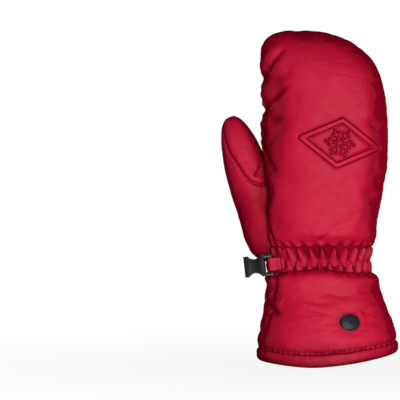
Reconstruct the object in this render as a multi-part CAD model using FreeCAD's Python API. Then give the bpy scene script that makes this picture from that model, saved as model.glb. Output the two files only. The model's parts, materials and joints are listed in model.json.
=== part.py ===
"""Right-hand ski mitten in padded leather, as it comes apart on a cutting table.

A flared gauntlet with a rolled hem, a shirred elastic wrist, a hand part, a finger part and a thumb.
Each is a stack of layers: leather, padding, waterproof membrane and fleece lining. A leather tab on the
thumb side of the wrist carries the socket half of a side-release buckle, which clips the pair together.

Frame: millimetres, origin at the middle of the hem's opening, in the plane the hem rests on.
+Z runs to the fingertips, -Y faces the back of the hand and -X is the thumb side.
"""
import FreeCAD, Part
import math
import os

from FreeCAD import Placement, Rotation, Vector

# ---------------------------------------------------------------- driving dimensions (mm, degrees)
OVAL_POWER = 2.4            # 2 is an ellipse; above 2 the padded tube is fuller at its corners
OVAL_POINTS = 24
FAR = 1000.0                # side of the boxes that stand in for half spaces, well past the mitten
PRISM = 250.0               # length of tools that only have to pass right through one wall
FILM = 0.15                 # free play between neighbouring layers
CRUMB_SHARE = 0.01          # solids below this share of a node's largest are crumbs of a cut

LEATHER = (0.0, 1.3)        # each layer as (outer inset, inner inset) from the leather's outer face
HAND_LAYERS = {"leather": LEATHER, "padding": (1.45, 8.0), "membrane": (8.15, 8.6), "lining": (8.75, 11.5)}
THUMB_LAYERS = {"leather": LEATHER, "padding": (1.45, 5.0), "membrane": (5.15, 5.6), "lining": (5.75, 7.5)}
CUFF_PADDING = (1.45, 5.0)
CUFF_LINING = (5.15, 7.9)
WRIST_GATHERS = (0.0, 1.6)
WRIST_ELASTIC = (1.75, 2.75)
WRIST_LINING = (2.9, 5.65)

# Stations of the tubes: (height, thumb-side edge, little-finger edge, half thickness)
CUFF = [
    (4.0, -60.5, 60.5, 44.0),
    (16.0, -60.0, 60.0, 43.5),
    (40.0, -56.5, 54.0, 39.5),
    (60.0, -54.0, 47.5, 33.5),
    (82.0, -52.0, 38.5, 27.5),
]
WRIST = [
    (78.0, -52.2, 39.5, 28.2),
    (84.0, -52.0, 37.5, 26.6),
    (91.0, -52.0, 37.0, 26.0),
    (98.0, -52.5, 38.0, 26.8),
    (104.0, -53.0, 40.0, 28.2),
]
HAND = [
    (98.0, -52.5, 39.0, 27.4),
    (110.0, -53.5, 41.8, 28.6),
    (125.0, -55.0, 44.2, 29.8),
    (165.0, -58.0, 51.3, 31.0),
    (205.0, -58.0, 53.2, 31.0),
    (235.0, -57.5, 50.5, 29.5),
    (256.0, -59.0, 43.5, 26.5),
    (270.0, -59.0, 33.0, 21.5),
    (280.0, -56.0, 19.5, 15.8),
    (286.5, -48.5, 5.0, 10.0),
    (290.0, -34.0, -14.0, 3.2),
]
HAND_HALF_WIDTH = 55.0      # reference half sizes that turn an inset into a scale
HAND_HALF_DEPTH = 30.5
DOME_START = 235.0          # above this the hand tube closes over the fingertips

CUFF_TOP = 80.0             # the shirred wrist lies between these two heights
HAND_BOTTOM = 102.0
HEM_HEIGHT = 11.0
HEM_DEPTH = 6.5             # how far the hem's roll reaches inwards
HEM_PROUD = 1.2             # how far it stands outside the gauntlet
GAUNTLET_BOTTOM = 5.0

# Finger and thumb pivots
KNUCKLE_Z = 234.0
KNUCKLE_RADIUS = 32.8
KNUCKLE_GAP = 1.8

THUMB_ROOT = Vector(-48.0, 8.0, 100.0)
THUMB_LEAN = 17.7           # thumb's axis, out from +Z towards -X
THUMB_PIVOT_S = 50.0        # distance of the pivot along that axis
THUMB_BALL = 20.6
THUMB_GAP = 2.0
THUMB_REF = 18.0
THUMB_DOME_S = 86.0
# Thumb stations: (distance along the axis, half width, half thickness)
THUMB = [
    (-14.0, 15.5, 14.5),
    (0.0, 17.5, 16.5),
    (30.0, 19.0, 17.5),
    (52.0, 19.4, 17.5),
    (75.0, 18.2, 16.6),
    (90.0, 16.3, 15.0),
    (102.0, 13.8, 12.7),
    (111.0, 10.6, 9.8),
    (117.0, 6.8, 6.2),
    (119.5, 2.6, 2.4),
]
THUMB_SEAM_START = Vector(-91.0, 0, 204.0)
THUMB_SEAM_END = Vector(-58.5, 0, 156.0)

ELASTIC_HEIGHT = 7.0
ELASTIC_MIDDLES = (86.0, 97.0)

BADGE_X, BADGE_Z = 17.5, 38.6
BADGE_HALF_WIDTH, BADGE_HALF_HEIGHT = 8.6, 7.1
BADGE_THICKNESS = 1.7
BADGE_DOME = 0.9
BADGE_GAP = 0.05            # between the plate's back and the leather
BADGE_SUNK = 4.0            # how deep the plate's blank starts, before the gauntlet's face trims it
POST_RADIUS = 1.3
POST_SPREAD = 4.2           # each rivet post's distance from the badge's middle
POST_FROM = -4.4
POST_HOLE_PLAY = 0.1
WASHER_RADIUS = 3.0
WASHER_FROM = -3.2
WASHER_THICKNESS = 0.8
WASHER_BORE_PLAY = 0.05
POCKET_PLAY = 0.3           # clearance of the pocket in the padding round washer and post
POCKET_FROM, POCKET_TO = -4.8, -1.8

EMBLEM_X, EMBLEM_Z = 9.0, 192.0      # a six-armed snowflake in a lozenge, in raised relief
EMBLEM_TILT = -8.0
LOZENGE_HALF_WIDTH, LOZENGE_HALF_HEIGHT = 33.0, 19.5
LOZENGE_BAND = 4.6
FLAKE_ARM = 12.0
FLAKE_BAND = 2.0
FLAKE_BRANCH_AT = 7.0       # where the side branches leave each arm
FLAKE_BRANCH = 3.2
EMBLEM_HEIGHT = 1.5

TAB_HINGE = Vector(-41.75, -21.5, 88.5)
TAB_TURN = 168.0            # the tab points to -X and 12 degrees round towards the palm
TAB_DROOP = 6.5             # and this much below level
TAB_WIDTH = 11.0
TAB_KNUCKLE = 1.3           # radius of the tab's root, and half the thickness of its sewn end
TAB_PLY = 1.3
TAB_SLOT_HALF_GAP = 0.25    # half the gap where the two plies meet, behind the bar
TAB_SLOT_LENGTH = 3.4
TAB_ANCHOR_LENGTH = 2.4
STITCH_HEIGHTS = (-3.6, -1.2, 1.2, 3.6)
STITCH_AT = 2.3
STITCH_RADIUS = 0.36
STITCH_HOLE_RADIUS = 0.4
STITCH_PROUD = 0.3          # how far a stitch's ends stand out of the plies
BAR_AT = 8.0                # the buckle's bar, from the hinge
BAR_RADIUS = 1.25
BAR_PLAY = 0.05
BAR_INSET = 0.5             # the bar's ends stop this far inside the legs' outer faces
BUCKLE_LENGTH = 24.0
BUCKLE_HALF_WIDTH = 9.4
BUCKLE_HALF_MOUTH = 9.0
BUCKLE_HALF_WAIST = 6.0
BUCKLE_WAIST_RADIUS = 7.6
BUCKLE_HALF_THICKNESS = 3.4
BUCKLE_LEG = 3.0
BUCKLE_LEG_HALF_THICKNESS = 1.8
BUCKLE_LEG_PAST_BAR = 0.6
BUCKLE_LEG_ROOT = 2.0       # how far each leg runs into the body
BUCKLE_BODY_FROM = 13.3
SOCKET_HALF_WIDTH = 6.6
SOCKET_HALF_HEIGHT = 2.1
SOCKET_DEPTH = 15.5

LABEL_WIDTH, LABEL_HEIGHT, LABEL_THICKNESS = 22.0, 30.0, 0.6
LABEL_BOTTOM = 34.0

AXIS = Vector(-math.sin(math.radians(THUMB_LEAN)), 0, math.cos(math.radians(THUMB_LEAN)))
ACROSS = Vector(math.cos(math.radians(THUMB_LEAN)), 0, math.sin(math.radians(THUMB_LEAN)))
THUMB_PIVOT = THUMB_ROOT + AXIS * THUMB_PIVOT_S


# ---------------------------------------------------------------- tubes
def oval(centre, across, through, half_width, half_depth):
    """A closed smooth wire round a superellipse. It starts mid-palm, clear of the side seams."""
    points = []
    for k in range(OVAL_POINTS):
        turn = 2 * math.pi * (k + 0.5) / OVAL_POINTS + math.pi / 2
        c, s = math.cos(turn), math.sin(turn)
        u = math.copysign(abs(c) ** (2 / OVAL_POWER), c) * half_width
        v = math.copysign(abs(s) ** (2 / OVAL_POWER), s) * half_depth
        points.append(centre + across * u + through * v)
    curve = Part.BSplineCurve()
    curve.interpolate(points, PeriodicFlag=True)
    return Part.Wire([curve.toShape()])


def level_tube(stations, inset, ref_width=None, ref_depth=None):
    """Solid through level ovals, with its half sizes reduced by inset."""
    wires = []
    for z, low, high, depth in stations:
        half = (high - low) / 2
        shrink_w = 1 - inset / (ref_width or half)
        shrink_d = 1 - inset / (ref_depth or depth)
        if z > DOME_START:
            z = DOME_START + (z - DOME_START) * (1 - inset / (HAND[-1][0] - DOME_START))
        centre = Vector((low + high) / 2, 0, z)
        wires.append(oval(centre, Vector(1, 0, 0), Vector(0, 1, 0), half * shrink_w, depth * shrink_d))
    return Part.makeLoft(wires, True)


def sleeve(stations, layer):
    """One layer of a tube, between its two insets."""
    outer, inner = layer
    return level_tube(stations, outer).cut(level_tube(stations, inner))


def hand_tube(inset):
    return level_tube(HAND, inset, HAND_HALF_WIDTH, HAND_HALF_DEPTH)


def thumb_tube(inset):
    """The thumb and the ball of the thumb below it, as one tube on a leaning axis."""
    shrink = 1 - inset / THUMB_REF
    wires = []
    for s, half_width, half_depth in THUMB:
        if s > THUMB_DOME_S:
            s = THUMB_DOME_S + (s - THUMB_DOME_S) * (1 - inset / (THUMB[-1][0] - THUMB_DOME_S))
        centre = THUMB_ROOT + AXIS * s
        wires.append(oval(centre, ACROSS, Vector(0, 1, 0), half_width * shrink, half_depth * shrink))
    return Part.makeLoft(wires, True)


def half_space(point, normal):
    """A large box that fills the side of a plane its normal points to."""
    box = Part.makeBox(FAR, FAR, FAR, Vector(-FAR / 2, -FAR / 2, 0))
    box.Placement = Placement(point, Rotation(Vector(0, 0, 1), normal))
    return box


BACK_SIDE = half_space(Vector(0, 0, 0), Vector(0, -1, 0))
PALM_SIDE = half_space(Vector(0, 0, 0), Vector(0, 1, 0))


# ---------------------------------------------------------------- where the bodies part
def finger_zone(play):
    """All that turns with the fingers: above the knuckle line, and a roll about the pivot below it."""
    pivot = Vector(-FAR / 2, 0, KNUCKLE_Z)
    roll = Part.makeCylinder(KNUCKLE_RADIUS + play, FAR, pivot, Vector(1, 0, 0))
    return half_space(Vector(0, 0, KNUCKLE_Z - play), Vector(0, 0, 1)).fuse(roll)


def thumb_zone(play):
    """All that turns with the thumb: beyond its pivot, and a ball about the pivot."""
    ball = Part.makeSphere(THUMB_BALL + play, THUMB_PIVOT)
    return half_space(THUMB_PIVOT, AXIS).fuse(ball)


def thumb_room():
    """The thumb's own volume with clearance, cut out of the hand's layers."""
    beyond = half_space(THUMB_PIVOT - AXIS * THUMB_GAP, AXIS)
    ball = Part.makeSphere(THUMB_BALL + THUMB_GAP, THUMB_PIVOT)
    return thumb_tube(-THUMB_GAP).common(beyond).fuse(ball)


def without_crumbs(shape):
    """The shape's solids, as one solid or one compound, without the crumbs that cuts leave."""
    least = CRUMB_SHARE * max(solid.Volume for solid in shape.Solids)
    kept = [solid for solid in shape.Solids if solid.Volume > least]
    return kept[0] if len(kept) == 1 else Part.makeCompound(kept)


# ---------------------------------------------------------------- hand, fingers and thumb
def make_hand_parts():
    """Layers of the hand, finger and thumb bodies, by node name."""
    fingers = finger_zone(0)
    hand_low = half_space(Vector(0, 0, HAND_BOTTOM), Vector(0, 0, 1))
    hand_zone = hand_low.cut(finger_zone(KNUCKLE_GAP))
    thumb_low = half_space(THUMB_PIVOT - AXIS * THUMB_GAP, AXIS * -1)
    room = thumb_room()
    thumb = thumb_zone(0)
    parts = {}
    for name in HAND_LAYERS:
        hand_out, hand_in = [hand_tube(inset) for inset in HAND_LAYERS[name]]
        thumb_out, thumb_in = [thumb_tube(inset) for inset in THUMB_LAYERS[name]]
        wall = hand_out.cut(hand_in)
        parts["finger", name] = wall.common(fingers)
        passage = thumb_in.common(thumb_low)
        parts["hand", name] = wall.common(hand_zone).cut(passage).cut(room)
        ball = thumb_out.cut(thumb_in).common(thumb_low).common(hand_low)
        parts["thenar", name] = ball.cut(hand_out).cut(room)
        parts["thumb", name] = thumb_out.cut(thumb_in).common(thumb)
    return parts


def thumb_panels(leather):
    """The thumb's leather: a back panel above the front seam, a side panel below it, a palm panel."""
    middle = Vector(0, THUMB_ROOT.y, 0)
    front = leather.common(half_space(middle, Vector(0, -1, 0)))
    along = THUMB_SEAM_END - THUMB_SEAM_START
    up = Vector(-along.z, 0, along.x)
    return {
        "thumb_back_panel": front.common(half_space(THUMB_SEAM_START, up)),
        "thumb_side_panel": front.common(half_space(THUMB_SEAM_START, up * -1)),
        "thumb_palm_panel": leather.common(half_space(middle, Vector(0, 1, 0))),
    }


def relief_bar(start, turn, length, band):
    """A round-ended bar as a prism along -Y, from start in the direction turn above +X."""
    bar = Part.makeBox(length, PRISM, band, Vector(0, -PRISM, -band / 2))
    for x in (0, length):
        bar = bar.fuse(Part.makeCylinder(band / 2, PRISM, Vector(x, 0, 0), Vector(0, -1, 0)))
    bar.Placement = Placement(start, Rotation(Vector(0, 1, 0), -turn))
    return bar


def emblem_bars():
    """(start, turn, length, band) of every bar: the lozenge's four sides, then the snowflake's arms."""
    centre = Vector(0, 0, 0)
    wide, tall = LOZENGE_HALF_WIDTH, LOZENGE_HALF_HEIGHT
    corners = [Vector(wide, 0, 0), Vector(0, 0, tall), Vector(-wide, 0, 0), Vector(0, 0, -tall)]
    bars = []
    for a, b in zip(corners, corners[1:] + corners[:1]):
        side = b - a
        bars.append((a, math.degrees(math.atan2(side.z, side.x)), side.Length, LOZENGE_BAND))
    for k in range(6):
        turn = 60 * k
        out = Vector(math.cos(math.radians(turn)), 0, math.sin(math.radians(turn)))
        bars.append((centre, turn, FLAKE_ARM, FLAKE_BAND))
        for side in (-60, 60):
            bars.append((out * FLAKE_BRANCH_AT, turn + side, FLAKE_BRANCH, FLAKE_BAND))
    return bars


def make_emblem():
    """A foam relief that follows the back panel's curve."""
    bars = [relief_bar(*bar) for bar in emblem_bars()]
    outline = bars[0].multiFuse(bars[1:])
    outline.Placement = Placement(Vector(EMBLEM_X, 0, EMBLEM_Z), Rotation(Vector(0, 1, 0), -EMBLEM_TILT))
    skin = hand_tube(-FILM - EMBLEM_HEIGHT).cut(hand_tube(-FILM))
    return skin.common(outline)


# ---------------------------------------------------------------- gauntlet and wrist
def cuff_front(x, z):
    """The gauntlet's front face: its y at x and z, on straight lines between stations."""
    for below, above in zip(CUFF, CUFF[1:]):
        if z <= above[0]:
            break
    t = (z - below[0]) / (above[0] - below[0])
    low, high, depth = [a + (b - a) * t for a, b in zip(below[1:], above[1:])]
    across = abs(x - (low + high) / 2) / ((high - low) / 2)
    return -depth * (1 - across ** OVAL_POWER) ** (1 / OVAL_POWER)


def badge_frame():
    """Placement of the badge: local Z is the outward normal of the gauntlet's front."""
    step = 2.0              # run over which the slopes are measured
    y = cuff_front(BADGE_X, BADGE_Z)
    slope_x = (cuff_front(BADGE_X + step, BADGE_Z) - y) / step
    slope_z = (cuff_front(BADGE_X, BADGE_Z + step) - y) / step
    normal = Vector(slope_x, -1, slope_z).normalize()
    side = Vector(1, slope_x, 0).normalize()
    up = normal.cross(side)
    turn = Rotation(side, up, normal, "ZXY")
    return Placement(Vector(BADGE_X, y, BADGE_Z), turn)


def ellipse_prism(half_width, half_height, low, high):
    wire = Part.Wire([Part.Ellipse(Vector(0, 0, low), half_width, half_height).toShape()])
    return Part.Face(wire).extrude(Vector(0, 0, high - low))


def disc(x, radius, low, high):
    """A round slice of a rivet, in the badge's own frame."""
    return Part.makeCylinder(radius, high - low, Vector(x, 0, low))


def make_badge():
    """Domed oval plate, its two rivet posts and washers, and the room they need behind the leather."""
    top = BADGE_THICKNESS + BADGE_DOME
    plate = ellipse_prism(BADGE_HALF_WIDTH, BADGE_HALF_HEIGHT, -BADGE_SUNK, top)
    dome_radius = (BADGE_HALF_WIDTH ** 2 + BADGE_DOME ** 2) / (2 * BADGE_DOME)
    plate = plate.common(Part.makeSphere(dome_radius, Vector(0, 0, top - dome_radius)))
    posts, washers, bores, pockets = [], [], [], []
    for x in (-POST_SPREAD, POST_SPREAD):
        posts.append(disc(x, POST_RADIUS, POST_FROM, 0))
        bores.append(disc(x, POST_RADIUS + POST_HOLE_PLAY, POCKET_FROM, top))
        pockets.append(disc(x, WASHER_RADIUS + POCKET_PLAY, POCKET_FROM, POCKET_TO))
        washer = disc(x, WASHER_RADIUS, WASHER_FROM, WASHER_FROM + WASHER_THICKNESS)
        washers.append(washer.cut(disc(x, POST_RADIUS + WASHER_BORE_PLAY, POCKET_FROM, top)))
    place = badge_frame()
    for shape in [plate] + posts + washers + bores + pockets:
        shape.Placement = place.multiply(shape.Placement)
    plate = plate.cut(level_tube(CUFF, -BADGE_GAP))
    posts = [post.cut(plate) for post in posts]
    return plate, Part.makeCompound(posts), Part.makeCompound(washers), bores, pockets


def make_hem():
    """The rolled hem: a flat-bottomed ring with a groove for the gauntlet leather's edge."""
    z, low, high, depth = CUFF[0]
    centre = Vector((low + high) / 2, 0, 0)
    half = (high - low) / 2
    sides = Vector(1, 0, 0), Vector(0, 1, 0)
    outer = Part.Face(oval(centre, *sides, half + HEM_PROUD, depth + HEM_PROUD))
    inner = Part.Face(oval(centre, *sides, half - HEM_DEPTH, depth - HEM_DEPTH))
    ring = outer.cut(inner).extrude(Vector(0, 0, HEM_HEIGHT))
    groove = sleeve(CUFF, (LEATHER[0] - FILM, LEATHER[1] + FILM))
    return ring.cut(groove.common(half_space(Vector(0, 0, GAUNTLET_BOTTOM - FILM), Vector(0, 0, 1))))


def make_cuff_parts():
    """The gauntlet's layers, hem, badge and label, by node name."""
    up = Vector(0, 0, 1)
    below_top = half_space(Vector(0, 0, CUFF_TOP), up * -1)
    tall = half_space(Vector(0, 0, GAUNTLET_BOTTOM), up).common(below_top)
    above_hem = half_space(Vector(0, 0, HEM_HEIGHT + FILM), up).common(below_top)
    leather = sleeve(CUFF, LEATHER).common(tall)
    padding = sleeve(CUFF, CUFF_PADDING).common(above_hem)
    lining = sleeve(CUFF, CUFF_LINING).common(above_hem)

    plate, posts, washers, bores, pockets = make_badge()
    for room in bores + pockets:
        padding = padding.cut(room)
    for bore in bores:
        leather = leather.cut(bore)

    label = Part.makeBox(LABEL_WIDTH, PRISM, LABEL_HEIGHT, Vector(-LABEL_WIDTH / 2, 0, LABEL_BOTTOM))
    face = CUFF_LINING[1] + FILM
    skin = sleeve(CUFF, (face, face + LABEL_THICKNESS))
    return {
        "gauntlet_back": leather.common(BACK_SIDE),
        "gauntlet_palm": leather.common(PALM_SIDE),
        "gauntlet_padding": padding,
        "gauntlet_lining": lining,
        "hem_binding": make_hem(),
        "badge_plate": plate,
        "badge_posts": posts,
        "badge_washers": washers,
        "size_label": label.common(skin),
    }


def level_slab(low, high):
    """All space between two heights."""
    return Part.makeBox(FAR, FAR, high - low, Vector(-FAR / 2, -FAR / 2, low))


def make_wrist_parts():
    """The shirred leather ring with its two elastic bands and the lining that runs through it."""
    tall = level_slab(CUFF_TOP + FILM, HAND_BOTTOM - FILM)
    parts = {
        "wrist_gathers": sleeve(WRIST, WRIST_GATHERS).common(tall),
        "wrist_lining": sleeve(WRIST, WRIST_LINING).common(tall),
    }
    for name, middle in zip(("wrist_elastic_lower", "wrist_elastic_upper"), ELASTIC_MIDDLES):
        slab = level_slab(middle - ELASTIC_HEIGHT / 2, middle + ELASTIC_HEIGHT / 2)
        parts[name] = sleeve(WRIST, WRIST_ELASTIC).common(slab)
    return parts


# ---------------------------------------------------------------- tab and buckle
def slug(x_a, radius_a, x_b, radius_b, half_height):
    """Two upright cylinders and the flat-sided bar that joins them, centred on z = 0."""
    height = 2 * half_height
    low = Vector(0, 0, -half_height)
    a = Part.makeCylinder(radius_a, height, low + Vector(x_a, 0, 0))
    b = Part.makeCylinder(radius_b, height, low + Vector(x_b, 0, 0))
    tilt = math.asin((radius_b - radius_a) / (x_b - x_a))
    corners = []
    for x, radius, side in ((x_a, radius_a, 1), (x_b, radius_b, 1), (x_b, radius_b, -1), (x_a, radius_a, -1)):
        corners.append(low + Vector(x - radius * math.sin(tilt), side * radius * math.cos(tilt), 0))
    web = Part.Face(Part.makePolygon(corners + corners[:1])).extrude(Vector(0, 0, height))
    return a.fuse(b).fuse(web).removeSplitter()


def make_tab():
    """The leather tab folded round the buckle's bar, its sewn end, and the stitches through it."""
    half = TAB_WIDTH / 2
    eye = BAR_RADIUS + BAR_PLAY
    outside = slug(0, TAB_KNUCKLE, BAR_AT, eye + TAB_PLY, half)
    slot = slug(BAR_AT - TAB_SLOT_LENGTH, TAB_SLOT_HALF_GAP, BAR_AT, eye, TAB_WIDTH)
    tab = outside.cut(slot)

    anchor_end = -TAB_KNUCKLE - FILM
    anchor = Part.makeBox(TAB_ANCHOR_LENGTH, 2 * TAB_KNUCKLE, TAB_WIDTH,
                          Vector(anchor_end - TAB_ANCHOR_LENGTH, -TAB_KNUCKLE, -half))

    # the slug is thicker towards the bar, so a stitch is as long as the thickness where it goes through
    thickness = TAB_KNUCKLE + (eye + TAB_PLY - TAB_KNUCKLE) * STITCH_AT / BAR_AT
    reach = thickness + STITCH_PROUD
    stitches = []
    for z in STITCH_HEIGHTS:
        at = Vector(STITCH_AT, -reach, z)
        tab = tab.cut(Part.makeCylinder(STITCH_HOLE_RADIUS, 2 * reach, at, Vector(0, 1, 0)))
        stitches.append(Part.makeCylinder(STITCH_RADIUS, 2 * reach, at, Vector(0, 1, 0)))
    return tab, anchor, Part.makeCompound(stitches)


def make_buckle():
    """Socket half of a side-release buckle: two legs with a bar, a waisted body and a mouth."""
    wide, thick = BUCKLE_HALF_WIDTH, BUCKLE_HALF_THICKNESS
    end = BAR_AT - BAR_RADIUS + BUCKLE_LENGTH
    plan = [
        (BUCKLE_BODY_FROM, -wide),
        (end, -BUCKLE_HALF_MOUTH),
        (end, BUCKLE_HALF_MOUTH),
        (BUCKLE_BODY_FROM, wide),
    ]
    corners = [Vector(x, -thick, z) for x, z in plan]
    body = Part.Face(Part.makePolygon(corners + corners[:1])).extrude(Vector(0, 2 * thick, 0))
    for side in (-1, 1):
        z = side * (BUCKLE_HALF_WAIST + BUCKLE_WAIST_RADIUS)
        centre = Vector((BUCKLE_BODY_FROM + end) / 2, -PRISM / 2, z)
        body = body.cut(Part.makeCylinder(BUCKLE_WAIST_RADIUS, PRISM, centre, Vector(0, 1, 0)))
    body = body.cut(Part.makeBox(SOCKET_DEPTH, 2 * SOCKET_HALF_HEIGHT, 2 * SOCKET_HALF_WIDTH,
                                 Vector(end - SOCKET_DEPTH, -SOCKET_HALF_HEIGHT, -SOCKET_HALF_WIDTH)))
    legs_from = BAR_AT - BAR_RADIUS - BUCKLE_LEG_PAST_BAR
    leg_length = BUCKLE_BODY_FROM + BUCKLE_LEG_ROOT - legs_from
    flat = BUCKLE_LEG_HALF_THICKNESS
    for z in (-wide, wide - BUCKLE_LEG):
        body = body.fuse(Part.makeBox(leg_length, 2 * flat, BUCKLE_LEG, Vector(legs_from, -flat, z)))
    bar = Part.makeCylinder(BAR_RADIUS, 2 * (wide - BAR_INSET), Vector(BAR_AT, 0, BAR_INSET - wide))
    return body.fuse(bar).removeSplitter()


def on_wrist(shape):
    """Moves a shape from the tab's own frame (x along the tab, y outwards) onto the wrist."""
    shape = shape.copy()
    turn = Rotation(Vector(0, 0, 1), TAB_TURN).multiply(Rotation(Vector(0, 1, 0), TAB_DROOP))
    shape.Placement = Placement(TAB_HINGE, turn).multiply(shape.Placement)
    return shape


# ---------------------------------------------------------------- assembly
def build():
    layers = make_hand_parts()
    nodes = {
        "back_panel": layers["hand", "leather"].common(BACK_SIDE),
        "palm_panel": layers["hand", "leather"].common(PALM_SIDE),
        "thenar_panel": layers["thenar", "leather"],
        "back_padding": layers["hand", "padding"].common(BACK_SIDE),
        "palm_padding": layers["hand", "padding"].common(PALM_SIDE),
        "thenar_padding": layers["thenar", "padding"],
        "hand_membrane": layers["hand", "membrane"],
        "hand_lining": layers["hand", "lining"],
        "finger_back_panel": layers["finger", "leather"].common(BACK_SIDE),
        "finger_palm_panel": layers["finger", "leather"].common(PALM_SIDE),
        "finger_padding": layers["finger", "padding"],
        "finger_membrane": layers["finger", "membrane"],
        "finger_lining": layers["finger", "lining"],
        "thumb_padding": layers["thumb", "padding"],
        "thumb_membrane": layers["thumb", "membrane"],
        "thumb_lining": layers["thumb", "lining"],
        "emblem_relief": make_emblem(),
    }
    nodes.update(thumb_panels(layers["thumb", "leather"]))
    nodes.update(make_wrist_parts())
    nodes.update(make_cuff_parts())
    tab, anchor, stitches = make_tab()
    nodes["buckle_tab"] = on_wrist(tab)
    nodes["tab_anchor"] = on_wrist(anchor).cut(level_tube(WRIST, -FILM))
    nodes["tab_stitches"] = on_wrist(stitches)
    nodes["buckle_socket"] = on_wrist(make_buckle())
    return nodes


def main():
    os.makedirs("parts", exist_ok=True)
    for name, shape in build().items():
        shape = without_crumbs(shape)
        if not shape.isValid():
            print("not a valid shape:", name)
        shape.exportStep(f"parts/{name}.step")
        print(name, "solids:", len(shape.Solids), "volume in mm3:", round(shape.Volume))


main()
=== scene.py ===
"""Looks for the padded leather ski mitten: leather shells, shirring, hem, lining, clip, light and camera.

Lengths inside this script are millimetres until a mesh is written, so that a seam 1 mm deep reads as 1.
x runs across the mitten (thumb side low), y from the back of the hand to the palm, z from hem to fingertips.
"""

import json
import math

import bmesh
import bpy
import numpy as np
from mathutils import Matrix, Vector
from mathutils.bvhtree import BVHTree


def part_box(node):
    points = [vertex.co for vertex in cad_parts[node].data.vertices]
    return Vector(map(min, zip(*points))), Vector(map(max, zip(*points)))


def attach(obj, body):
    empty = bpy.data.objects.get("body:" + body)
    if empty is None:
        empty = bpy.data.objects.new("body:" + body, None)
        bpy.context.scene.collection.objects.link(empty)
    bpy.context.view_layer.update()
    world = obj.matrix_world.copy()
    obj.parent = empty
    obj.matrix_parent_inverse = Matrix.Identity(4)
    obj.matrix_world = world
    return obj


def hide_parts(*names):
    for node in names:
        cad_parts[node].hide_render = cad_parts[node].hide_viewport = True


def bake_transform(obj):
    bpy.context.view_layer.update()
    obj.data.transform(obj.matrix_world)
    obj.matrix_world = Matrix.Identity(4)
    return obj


MM = 0.001

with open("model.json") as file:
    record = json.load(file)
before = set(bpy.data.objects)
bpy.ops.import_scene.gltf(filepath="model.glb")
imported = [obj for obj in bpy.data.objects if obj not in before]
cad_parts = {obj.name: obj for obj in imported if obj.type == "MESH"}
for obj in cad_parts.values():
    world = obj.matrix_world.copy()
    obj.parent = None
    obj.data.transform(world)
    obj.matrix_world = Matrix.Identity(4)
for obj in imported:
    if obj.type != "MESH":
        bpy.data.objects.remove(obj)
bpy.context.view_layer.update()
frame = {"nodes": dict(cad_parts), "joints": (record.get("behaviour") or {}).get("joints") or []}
JOINTS = {joint["name"]: joint for joint in frame["joints"]}


# ------------------------------ places read from the CAD frame
def box_mm(node):
    """(low corner, high corner) of a CAD node as arrays in mm."""
    low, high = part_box(node)
    return np.array(low) / MM, np.array(high) / MM


def joint_mm(name):
    return np.array(JOINTS[name]["pos_m"]) / MM


HAND_LOW, HAND_HIGH = box_mm("back_panel")
TIP_Z = box_mm("finger_back_panel")[1][2]
CUFF_LOW, CUFF_HIGH = box_mm("gauntlet_back")
WRIST_LOW, WRIST_HIGH = box_mm("wrist_gathers")
HEM_LOW, HEM_HIGH = box_mm("hem_binding")
THUMB_PIVOT = joint_mm("thumb_swing")
THUMB_LEAN = math.radians(17.7)      # out from upright towards the thumb side
THUMB_AXIS = np.array([-math.sin(THUMB_LEAN), 0, math.cos(THUMB_LEAN)])


# ------------------------------ small mathematics
def smooth(t):
    """0 below 0, 1 above 1, and a smooth rise between."""
    t = np.clip(t, 0, 1)
    return t * t * (3 - 2 * t)


def bell(d, width):
    return np.exp(-(d / width) ** 2)


class Noise:
    """Seeded gradient noise in three dimensions, between about -1 and 1."""

    def __init__(self, seed):
        rng = np.random.default_rng(seed)
        self.table = rng.permutation(256)
        steps = rng.normal(size=(256, 3))
        self.steps = steps / np.linalg.norm(steps, axis=1)[:, None]

    def __call__(self, points, size):
        """Noise at points (n, 3), with lumps about size across. size may be one number or three."""
        p = np.asarray(points, float) / np.asarray(size, float)
        cell = np.floor(p).astype(int)
        f = p - cell
        w = f * f * f * (f * (f * 6 - 15) + 10)
        total = np.zeros(len(p))
        for i in (0, 1):
            for j in (0, 1):
                for k in (0, 1):
                    corner = np.array([i, j, k])
                    c = (cell + corner) & 255
                    h = self.table[(self.table[(self.table[c[:, 0]] + c[:, 1]) & 255] + c[:, 2]) & 255]
                    dot = ((f - corner) * self.steps[h]).sum(1)
                    share = np.where(corner, w, 1 - w).prod(1)
                    total += dot * share
        return total * 1.6


NOISE = Noise(11)
WARP = Noise(12)
FINE = Noise(13)


def fractal(points, size, octaves=3, noise=NOISE):
    total = np.zeros(len(points))
    for k in range(octaves):
        total += noise(points, np.asarray(size, float) / 2 ** k) / 2 ** k
    return total


def ridges(points, size, noise=NOISE):
    """Thin raised lines, 1 on a line and 0 away from it."""
    return np.clip(1 - np.abs(noise(points, size)) * 4, 0, 1)


def warped(p, reach, size):
    """Points shifted by up to about reach, so that lines drawn over them wander like creases in leather."""
    return p + reach * np.column_stack([WARP(p, size), WARP(p + 50, size), WARP(p + 90, size)])


def line_distance(flat, line):
    """Distance of points (n, 2) from a bent line, the share of the line's length at the nearest point,
    and the signed side (positive to the left of the line's direction)."""
    line = np.asarray(line, float)
    lengths = np.linalg.norm(np.diff(line, axis=0), axis=1)
    total = lengths.sum()
    best = np.full(len(flat), 1e9)
    along = np.zeros(len(flat))
    side = np.zeros(len(flat))
    done = 0.0
    for a, b, length in zip(line, line[1:], lengths):
        u = (b - a) / length
        rel = flat - a
        t = np.clip(rel @ u, 0, length)
        off = rel - t[:, None] * u
        d = np.linalg.norm(off, axis=1)
        near = d < best
        best[near] = d[near]
        along[near] = (done + t[near]) / total
        side[near] = (u[0] * off[:, 1] - u[1] * off[:, 0])[near]
        done += length
    return best, along, side


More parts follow.
